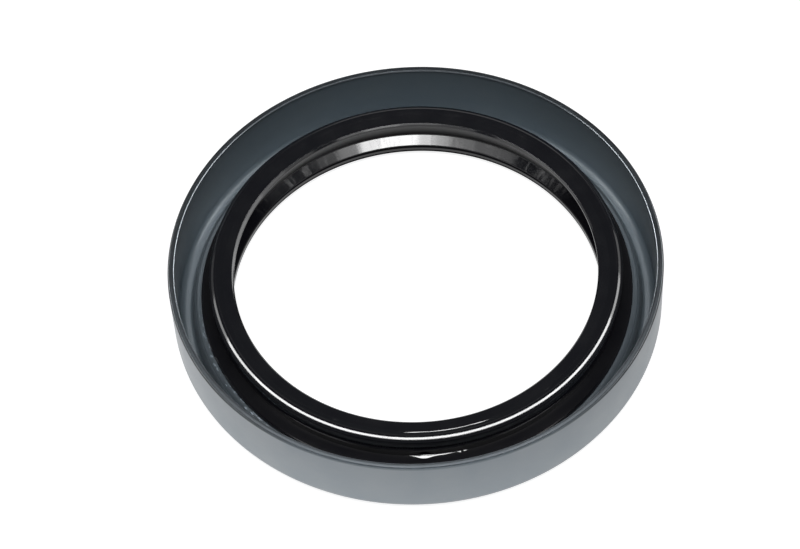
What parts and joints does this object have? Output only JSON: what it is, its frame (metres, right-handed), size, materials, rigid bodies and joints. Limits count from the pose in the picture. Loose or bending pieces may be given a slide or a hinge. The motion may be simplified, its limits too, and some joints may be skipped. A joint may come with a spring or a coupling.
{
  "type": "radial shaft seal",
  "caption": "Radial shaft seal: pressed steel cup case with a bonded rubber sealing lip, a dust lip and a hidden garter spring.",
  "frame": {"origin": "centre of the back face, on the shaft's axis", "axes": "+Z along the shaft's axis, from the back face to the open oil side"},
  "size_m": [0.08, 0.08, 0.012],
  "materials": {
    "case_steel": "satin, oiled",
    "seal_rubber": "glossy, oiled",
    "spring_steel": "bright drawn wire"
  },
  "bodies": {
    "root": {"outer_case": "case_steel", "sealing_element": "seal_rubber", "garter_spring": "spring_steel"}
  },
  "joints": []
}
